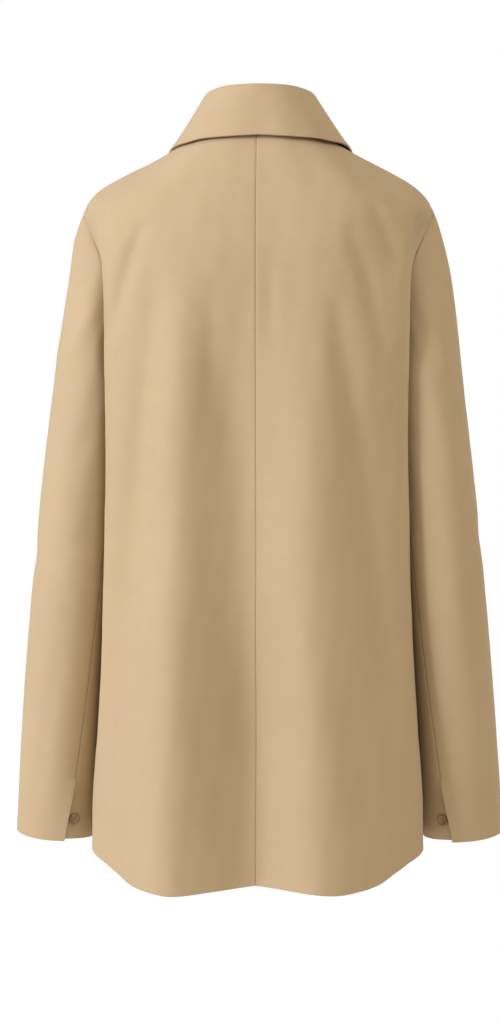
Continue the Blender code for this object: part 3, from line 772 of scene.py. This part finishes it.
# Collar: stand and fall, from the right end round the back to the left end
collar = {
    # angle round the neck, height of the fold, body section under the edge, lift off the body
    "rows": (
        (0, 49.0, 0.72, 7.0), (45, 47.5, 0.83, 5.0), (90, 38.5, 1.05, 3.0), (135, 6.0, 1.46, 4.0),
        (180, -34.0, 1.95, 5.0),
    ),
    "foldWidth": 57, "foldDepth": 65, "foldY": -4,
    "foldEnd": 176.5, "leafEnd": 150.0,
    "roll": ((0.4, 0.5), (1.3, 3.2), (3.6, 4.6), (6.0, 3.6)),  # out and up over the fold
    "bow": 1.5, "wall": 1.7, "footLift": 0.5, "liftWay": (0.6, 0.8),
    "shift": -1.6, "leftShare": 0.985,  # worn a little to the right, mm, and how far its left end reaches
    "unrest": 0.5, "foldFade": 20, "edgeFade": 8, "halfSpan": 0.3,
    "edgeRise": 0.5, "edgeIn": 4, "edgeWidth": 3,  # turned edge, a little fuller
    "columns": 150, "standRows": 14, "leafRows": 46,
}


def neckPoint(angle, place):
    turn = abs(angle)
    which, share = ("back", turn / 90) if turn <= 90 else ("front", (180 - turn) / 90)
    dense = halfSection(which, place)
    point = atDistance(dense, [share * runLengths(dense)[-1]])[0]
    return point * (math.copysign(1, angle), 1, 1)


def foldPoint(angle):
    a = math.radians(angle)
    level = float(alongKeys(collar["rows"], abs(angle), 1)) * mm
    x = collar["foldWidth"] * math.sin(a) + collar["shift"]
    y = collar["foldY"] + collar["foldDepth"] * math.cos(a)
    return np.array((x * mm, y * mm, level))


def leafEdge(angle):
    place = float(alongKeys(collar["rows"], abs(angle), 2))
    place *= 1 - (1 - collar["leftShare"]) * max(0.0, math.sin(math.radians(angle)))
    lift = float(alongKeys(collar["rows"], abs(angle), 3)) * mm
    point = neckPoint(angle, place)
    outward = unit((point[0], point[1], 0.0))
    out, up = collar["liftWay"]
    return point + (outward * out + np.array((0, 0, up))) * lift + np.array((collar["shift"] * mm, 0, 0))


def smoothLine(points, count):
    points = np.asarray(points)
    slopes = np.gradient(points, axis=0)
    dense = [hermite(points[i], slopes[i], points[i + 1], slopes[i + 1], s)
             for i in range(len(points) - 1) for s in np.linspace(0, 1, 12, endpoint=False)]
    dense = np.array([*dense, points[-1]])
    return atDistance(dense, np.linspace(0, runLengths(dense)[-1], count))


def makeCollar():
    c = collar
    turns = np.linspace(-1, 1, c["columns"] + 1)
    stand, leaf = [], []
    for turn in turns:
        angle = turn * c["foldEnd"]
        fold = foldPoint(angle)
        foot = neckPoint(angle, 0) + np.array((0, 0, c["footLift"] * mm))
        stand.append(foot + (fold - foot) * np.linspace(0, 1, c["standRows"] + 1)[:, None])
        outward = unit((fold[0], fold[1] - c["foldY"] * mm, 0.0))
        line = [fold + outward * o * mm + np.array((0, 0, u * mm)) for o, u in c["roll"]]
        edge = leafEdge(turn * c["leafEnd"])
        way = unit((line[-1][0] + edge[0], line[-1][1] + edge[1], 0.0))
        for down in (0.2, 0.4, 0.6, 0.8, 1.0):
            line.append(line[3] + (edge - line[3]) * down + way * c["bow"] * mm * math.sin(math.pi * down))
        leaf.append(smoothLine(line, c["leafRows"] + 1))
    stand, leaf = (np.array(v).transpose(1, 0, 2) for v in (stand, leaf))
    clothShell("collar_stand", stand, np.zeros(stand.shape[:2]), True, c["wall"])
    normals = gridNormals(leaf, False)
    normals *= np.sign(normals[30, 75, 1])
    run = runDown(leaf)
    toEdge = run[-1] - run
    across = np.linspace(-c["halfSpan"], c["halfSpan"], leaf.shape[1])[None, :] * np.ones_like(run)
    calm = smoothStep(run / (c["foldFade"] * mm)) * smoothStep(toEdge / (c["edgeFade"] * mm))
    lift = clothUnrest(across, run, 3.3) * c["unrest"] * calm
    lift += c["edgeRise"] * mm * bell(toEdge - c["edgeIn"] * mm, c["edgeWidth"] * mm)
    leaf = leaf + normals * lift[..., None]
    clothShell("collar_fall", leaf, np.zeros(run.shape), False, c["wall"])
    print("collar made")


makeCollar()

# Buttons: four holes, a dished face and a rounded rim
buttonSizes = {
    "front": {"radius": 9.0, "thick": 3.0, "hole": 1.0, "spread": 1.9},
    "cuff": {"radius": 6.35, "thick": 2.3, "hole": 0.75, "spread": 1.4},
    "levels": (-112, -235, -358, -481, -604),
    "sides": 64, "holeSides": 14,
    "colour": (0.335, 0.215, 0.105), "dark": (0.190, 0.112, 0.050), "grainEnds": (0.32, 0.68),
    "grainNoise": (330, 5, 0.6), "stretch": (1.0, 1.0, 0.35), "fineNoise": (2400, 2),
    "roughness": (0.16, 0.26), "relief": (0.12, 0.00005), "coat": 0.15,
    "cuffUp": 21, "cuffIn": 9.5,
    "lift": 0.5, "face": 0.56,  # off the cloth in mm, and the dished face in the thickness
    # share of the radius and of the thickness, from the face over the rim to the back
    "profile": (
        (0.56, 0.56), (0.60, 0.58), (0.66, 0.72), (0.71, 0.88), (0.76, 0.97), (0.82, 1.0), (0.89, 0.97),
        (0.95, 0.88), (0.985, 0.74), (1.0, 0.56), (0.985, 0.36), (0.93, 0.18), (0.84, 0.06), (0.72, 0.0),
    ),
}


def makeHorn():
    look = buttonSizes
    material, tree, shader = newMaterial("hornResin")
    place = addNode(tree, "ShaderNodeTexCoord").outputs["Object"]
    stretch = addNode(tree, "ShaderNodeMapping")
    setInputs(stretch, Scale=look["stretch"])
    tree.links.new(place, stretch.inputs["Vector"])
    grain = noiseNode(tree, stretch.outputs["Vector"], *look["grainNoise"])
    colourBy(tree, shader, grain, look["grainEnds"], (look["dark"], look["colour"]))
    fine = noiseNode(tree, place, *look["fineNoise"])
    tree.links.new(mathNode(tree, "MULTIPLY_ADD", fine, *look["roughness"]), shader.inputs["Roughness"])
    reliefBy(tree, shader, fine, *look["relief"])
    setInputs(shader, Coat_Weight=look["coat"])
    return material


horn = makeHorn()


def ring(bm, radius, height, sides, cx=0.0, cy=0.0):
    turns = [2 * math.pi * k / sides for k in range(sides)]
    return [bm.verts.new((cx + radius * math.cos(a), cy + radius * math.sin(a), height)) for a in turns]


def bridge(bm, upper, lower):
    n = len(upper)
    for k in range(n):
        bm.faces.new((upper[k], lower[k], lower[(k + 1) % n], upper[(k + 1) % n]))


def capWithHoles(bm, loops):
    pairs = [pair for loop in loops for pair in zip(loop, [*loop[1:], loop[0]])]
    edges = [bm.edges.get(pair) or bm.edges.new(pair) for pair in pairs]
    bmesh.ops.triangle_fill(bm, edges=edges, use_beauty=True)


def makeButton(tag, size, seat, outward):
    r, h = size["radius"] * mm, size["thick"] * mm
    bm = bmesh.new()
    rings = [ring(bm, r * a, h * b, buttonSizes["sides"]) for a, b in buttonSizes["profile"]]
    for upper, lower in zip(rings, rings[1:]):
        bridge(bm, upper, lower)
    s = size["spread"] * mm
    holes = []
    for cx, cy in ((s, s), (-s, s), (-s, -s), (s, -s)):
        top, low = (ring(bm, size["hole"] * mm, level, buttonSizes["holeSides"], cx, cy)
                    for level in (h * buttonSizes["face"], 0.0))
        bridge(bm, low, top)
        holes.append((top, low))
    capWithHoles(bm, [rings[0], *(top for top, low in holes)])
    capWithHoles(bm, [rings[-1], *(low for top, low in holes)])
    bmesh.ops.recalc_face_normals(bm, faces=bm.faces)
    out = unit(outward)
    right = unit(np.cross((0, 0, 1.0), out))
    up = np.cross(out, right)
    for v in bm.verts:
        v.co = seat + right * v.co.x + up * v.co.y + out * v.co.z
    mesh = bpy.data.meshes.new("button")
    bm.to_mesh(mesh)
    bm.free()
    mesh.materials.append(horn)
    mesh.shade_smooth()
    piece = placed("button_detail_" + tag, mesh)
    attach(piece, "root")
    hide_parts("button_" + tag)
    return right, up, out


def nearOnGrid(grid, flip, wanted):
    # surface point and normal nearest to a wanted place
    flat = grid.reshape(-1, 3)
    k = int(np.linalg.norm(flat - wanted, axis=1).argmin())
    return flat[k], gridNormals(grid, flip).reshape(-1, 3)[k]


threads = []  # a run for each pair of holes: point, sideways, outward


def sewButton(kind, number, seat, outward):
    size, lift = buttonSizes[kind], buttonSizes["lift"]
    right, up, out = makeButton(f"{kind}_{number}", size, seat + unit(outward) * lift * mm, outward)
    s, face = size["spread"] * mm, seat + out * (lift + size["thick"] * 0.5) * mm
    for row in (1, -1):
        threads.append([(face + up * s * row + right * s * end, up, out) for end in (-1, 1)])


frontRight = frontGrids["right"]
for number, level in enumerate(buttonSizes["levels"], 1):
    column = frontRight[:, np.abs(frontRight[panelMesh["midRow"], :, 0]).argmin()]
    wanted = column[np.abs(column[:, 2] - level * mm).argmin()]
    seat, normal = nearOnGrid(frontRight, True, np.array((0, wanted[1], level * mm)))
    normal = normal * -np.sign(normal[1])
    sewButton("front", number, seat, normal)
ringStep, degreeStep = 128, 0.84  # mm along the sleeve and round it
for hand in ("left", "right"):
    grid, angle, place = underSleeves[hand]
    wantedPlace = lastRing - buttonSizes["cuffUp"] / ringDrop
    wantedAngle = backSeamAngle(wantedPlace) - buttonSizes["cuffIn"] * 360 / sleeve["round"]
    k = int((np.abs(place - wantedPlace) * ringStep + np.abs(angle - wantedAngle) * degreeStep).argmin())
    normal = gridNormals(grid, False).reshape(-1, 3)[k]
    normal = normal * np.sign(normal[1])
    sewButton("cuff", hand, grid.reshape(-1, 3)[k], normal)
print("buttons made")

# Sewing thread, laid by Geometry Nodes
threadLook = {
    "colour": (0.40, 0.285, 0.160), "dark": 0.7, "twist": (3000, 3), "roughness": 0.6, "sheen": 0.3,
    "radius": 0.20, "strands": 4, "spread": 0.34, "arch": 0.5,
}
buttonhole = {
    "from": 2.5, "to": -19.0, "half": 1.5, "pitch": 0.62, "stitch": 1.7, "thread": 0.36,
    "steps": 48, "lift": 0.1, "bar": 0.3,  # guide points, height off the cloth, where the end bars turn
}


def makeThreadLook():
    look = threadLook
    material, tree, shader = newMaterial("sewingThread")
    twist = noiseNode(tree, addNode(tree, "ShaderNodeTexCoord").outputs["Object"], *look["twist"])
    colour = np.array(look["colour"])
    colourBy(tree, shader, twist, (0, 1), (colour * look["dark"], colour))
    setInputs(shader, Roughness=look["roughness"], Sheen_Weight=look["sheen"])
    return material


thread = makeThreadLook()


def newTree(name, values):
    tree = bpy.data.node_groups.new(name, "GeometryNodeTree")
    tree.interface.new_socket("Geometry", in_out="INPUT", socket_type="NodeSocketGeometry")
    for label, value in values.items():
        kind = "NodeSocketInt" if isinstance(value, int) else "NodeSocketFloat"
        tree.interface.new_socket(label, in_out="INPUT", socket_type=kind).default_value = value
    tree.interface.new_socket("Geometry", in_out="OUTPUT", socket_type="NodeSocketGeometry")
    return tree, tree.nodes.new("NodeGroupInput")


def endTree(tree, node, output):
    realize = tree.nodes.new("GeometryNodeRealizeInstances")
    paint = tree.nodes.new("GeometryNodeSetMaterial")
    setInputs(paint, Material=thread)
    wire(tree, (node, output, realize, "Geometry"), (realize, "Geometry", paint, "Geometry"),
         (paint, "Geometry", tree.nodes.new("NodeGroupOutput"), "Geometry"))


def named(tree, name):
    node = addNode(tree, "GeometryNodeInputNamedAttribute", data_type="FLOAT_VECTOR")
    setInputs(node, Name=name)
    return node


def guideCurve(tree, given, **settings):
    curve = tree.nodes.new("GeometryNodeMeshToCurve")
    fine = addNode(tree, "GeometryNodeResampleCurve", **settings)
    wire(tree, (given, "Geometry", curve, "Mesh"), (curve, "Curve", fine, "Curve"))
    return fine


def strandTree():
    t = threadLook
    tree, given = newTree("buttonStrands", {
        "Radius": t["radius"] * mm, "Strands": t["strands"],
        "Spread": t["spread"] * mm, "Arch": t["arch"] * mm,
    })
    fine = guideCurve(tree, given)
    setInputs(fine, Count=11)
    copies = addNode(tree, "GeometryNodeDuplicateElements", domain="SPLINE")
    wire(tree, (fine, "Curve", copies, "Geometry"), (given, "Strands", copies, "Amount"))
    middle = mathNode(tree, "MULTIPLY_ADD", given.outputs["Strands"], -0.5, 0.5)
    index = mathNode(tree, "ADD", copies.outputs["Duplicate Index"], middle)
    sideways = mathNode(tree, "MULTIPLY", index, given.outputs["Spread"])
    factor = tree.nodes.new("GeometryNodeSplineParameter").outputs["Factor"]
    bow = mathNode(tree, "SINE", mathNode(tree, "MULTIPLY", factor, math.pi))
    lift = mathNode(tree, "MULTIPLY", bow, given.outputs["Arch"])
    offset = addNode(tree, "ShaderNodeVectorMath", operation="ADD")
    for k, (name, amount) in enumerate((("side", sideways), ("out", lift))):
        part = addNode(tree, "ShaderNodeVectorMath", operation="SCALE")
        tree.links.new(amount, part.inputs["Scale"])
        wire(tree, (named(tree, name), "Attribute", part, 0), (part, "Vector", offset, k))
    move = tree.nodes.new("GeometryNodeSetPosition")
    circle = tree.nodes.new("GeometryNodeCurvePrimitiveCircle")
    setInputs(circle, Resolution=6)
    tube = tree.nodes.new("GeometryNodeCurveToMesh")
    setInputs(tube, Fill_Caps=True)
    wire(tree, (copies, "Geometry", move, "Geometry"), (offset, "Vector", move, "Offset"),
         (given, "Radius", circle, "Radius"), (move, "Geometry", tube, "Curve"),
         (circle, "Curve", tube, "Profile Curve"))
    endTree(tree, tube, "Mesh")
    return tree


def stitchTree():
    h = buttonhole
    tree, given = newTree("buttonholeStitches", {
        "Pitch": h["pitch"] * mm, "Stitch length": h["stitch"] * mm, "Thread": h["thread"] * mm,
    })
    fine = guideCurve(tree, given, mode="LENGTH")
    bead = tree.nodes.new("GeometryNodeMeshUVSphere")
    setInputs(bead, Segments=6, Rings=6, Radius=0.5)
    turn = addNode(tree, "FunctionNodeAlignRotationToVector", axis="X")
    size = tree.nodes.new("ShaderNodeCombineXYZ")
    scatter = tree.nodes.new("GeometryNodeInstanceOnPoints")
    wire(tree, (given, "Pitch", fine, "Length"), (named(tree, "side"), "Attribute", turn, "Vector"),
         (given, "Stitch length", size, 0), (given, "Thread", size, 1), (given, "Thread", size, 2),
         (fine, "Curve", scatter, "Points"), (bead, "Mesh", scatter, "Instance"),
         (turn, "Rotation", scatter, "Rotation"), (size, "Vector", scatter, "Scale"))
    endTree(tree, scatter, "Instances")
    return tree


def layThread(name, paths, tree):
    # paths: lists of (point, side, out); each list is one run of edges
    points, sides, outs = (np.array(v) for v in zip(*(row for path in paths for row in path)))
    starts = np.cumsum([0] + [len(path) for path in paths])
    edges = [(k, k + 1) for start, end in zip(starts, starts[1:]) for k in range(start, end - 1)]
    guide = bpy.data.meshes.new(name + "Guide")
    guide.from_pydata(points.tolist(), edges, [])
    for label, vectors in (("side", sides), ("out", outs)):
        layer = guide.attributes.new(label, "FLOAT_VECTOR", "POINT")
        layer.data.foreach_set("vector", vectors.ravel().tolist())
    piece = placed(name, guide)
    modifier = piece.modifiers.new("thread", "NODES")
    modifier.node_group = tree
    graph = bpy.context.evaluated_depsgraph_get()
    mesh = bpy.data.meshes.new_from_object(piece.evaluated_get(graph))
    piece.modifiers.remove(modifier)
    piece.data = mesh
    mesh.shade_smooth()
    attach(piece, "root")


def buttonholePath(level):
    # long oval on the right front, from near the edge towards the side
    h, midRow = buttonhole, frontRight[panelMesh["midRow"]]
    ends, half = (h["to"] * mm, h["from"] * mm), h["half"] * mm
    path = []
    for a in np.linspace(0, 2 * math.pi, h["steps"] + 1):
        cap = ends[1] - half if math.cos(a) > 0 else ends[0] + half
        x, z = cap + half * math.cos(a), level * mm + half * math.sin(a)
        column = np.abs(midRow[:, 0] - x).argsort()[:2]
        wanted = np.array((x, midRow[column[0], 1], z))
        seat, normal = nearOnGrid(frontRight[:, sorted(column)], True, wanted)
        normal = normal * -np.sign(normal[1])
        point = np.array((x, seat[1], z)) + normal * h["lift"] * mm
        side = unit((math.cos(a) if abs(math.cos(a)) > h["bar"] else 0.0, 0.0, math.sin(a)))
        path.append((point, side, normal))
    return path


layThread("button_threads", threads, strandTree())
layThread("buttonhole_stitches", [buttonholePath(level) for level in buttonSizes["levels"]], stitchTree())
print("thread laid")

# Studio: pale floor well below the coat, soft key from the picture's left, weak fill, even surround
studio = {
    "distance": 3.5, "turn": 2.0, "scale": 1.10, "centre": (9.35, -409.2), "tall": 1024,
    "floor": -1.45, "floorRadius": 2.2, "floorColour": (0.86, 0.85, 0.83), "floorRoughness": 0.9,
    # place, target, size, power
    "lamps": {"key": ((3.1, 1.85, 0.9), (0, 0, -0.4), 1.5, 127.0),
              "fill": ((-0.9, 1.9, 1.7), (-0.1, 0, -0.1), 1.4, 18.0)},
    "lampColour": (0.875, 1.005, 1.29), "surround": 0.722, "surroundColour": (1.0, 0.94, 0.80),
}


def makeFloor():
    bm = bmesh.new()
    bmesh.ops.create_circle(bm, cap_ends=True, segments=96, radius=studio["floorRadius"])
    for v in bm.verts:
        v.co.z = studio["floor"]
    mesh = bpy.data.meshes.new("floor")
    bm.to_mesh(mesh)
    bm.free()
    material, _, shader = newMaterial("paleFloor")
    setInputs(shader, Base_Color=(*studio["floorColour"], 1), Roughness=studio["floorRoughness"])
    mesh.materials.append(material)
    floor = placed("floor", mesh)


def makeStudio():
    scene = bpy.context.scene
    world = bpy.data.worlds.new("softSurround")
    world.use_nodes = True
    tree = world.node_tree
    soft = tree.nodes["Background"]
    setInputs(soft, Color=(*studio["surroundColour"], 1), Strength=studio["surround"])
    plain = addNode(tree, "ShaderNodeBackground")  # what shows behind the coat
    setInputs(plain, Color=(1, 1, 1, 1))
    mix = addNode(tree, "ShaderNodeMixShader")
    wire(tree, (addNode(tree, "ShaderNodeLightPath"), "Is Camera Ray", mix, "Fac"),
         (soft, "Background", mix, 1), (plain, "Background", mix, 2),
         (mix, "Shader", tree.nodes["World Output"], "Surface"))
    scene.world = world
    scene.view_settings.view_transform = "Standard"
    for name, (eye, target, size, power) in studio["lamps"].items():
        light = bpy.data.lights.new(name, "AREA")
        light.shape, light.size, light.energy, light.color = "DISK", size, power, studio["lampColour"]
        aim(placed(name, light), eye, target)
    lens = bpy.data.cameras.new("camera")
    lens.lens = lens.sensor_width * studio["distance"] / (studio["tall"] * studio["scale"] * mm)
    camera = placed("camera", lens)
    turn = math.radians(studio["turn"])
    cx, cz = studio["centre"][0] * mm, studio["centre"][1] * mm
    c, s, d = math.cos(turn), math.sin(turn), studio["distance"]
    eye = (cx * c - d * s, cx * s + d * c, cz)
    aim(camera, eye, (eye[0] + s, eye[1] - c, cz))
    scene.camera = camera


def aim(thing, eye, target):
    thing.location = eye
    thing.rotation_euler = (Vector(target) - Vector(eye)).to_track_quat("-Z", "Y").to_euler()


makeFloor()
makeStudio()
print("studio ready")
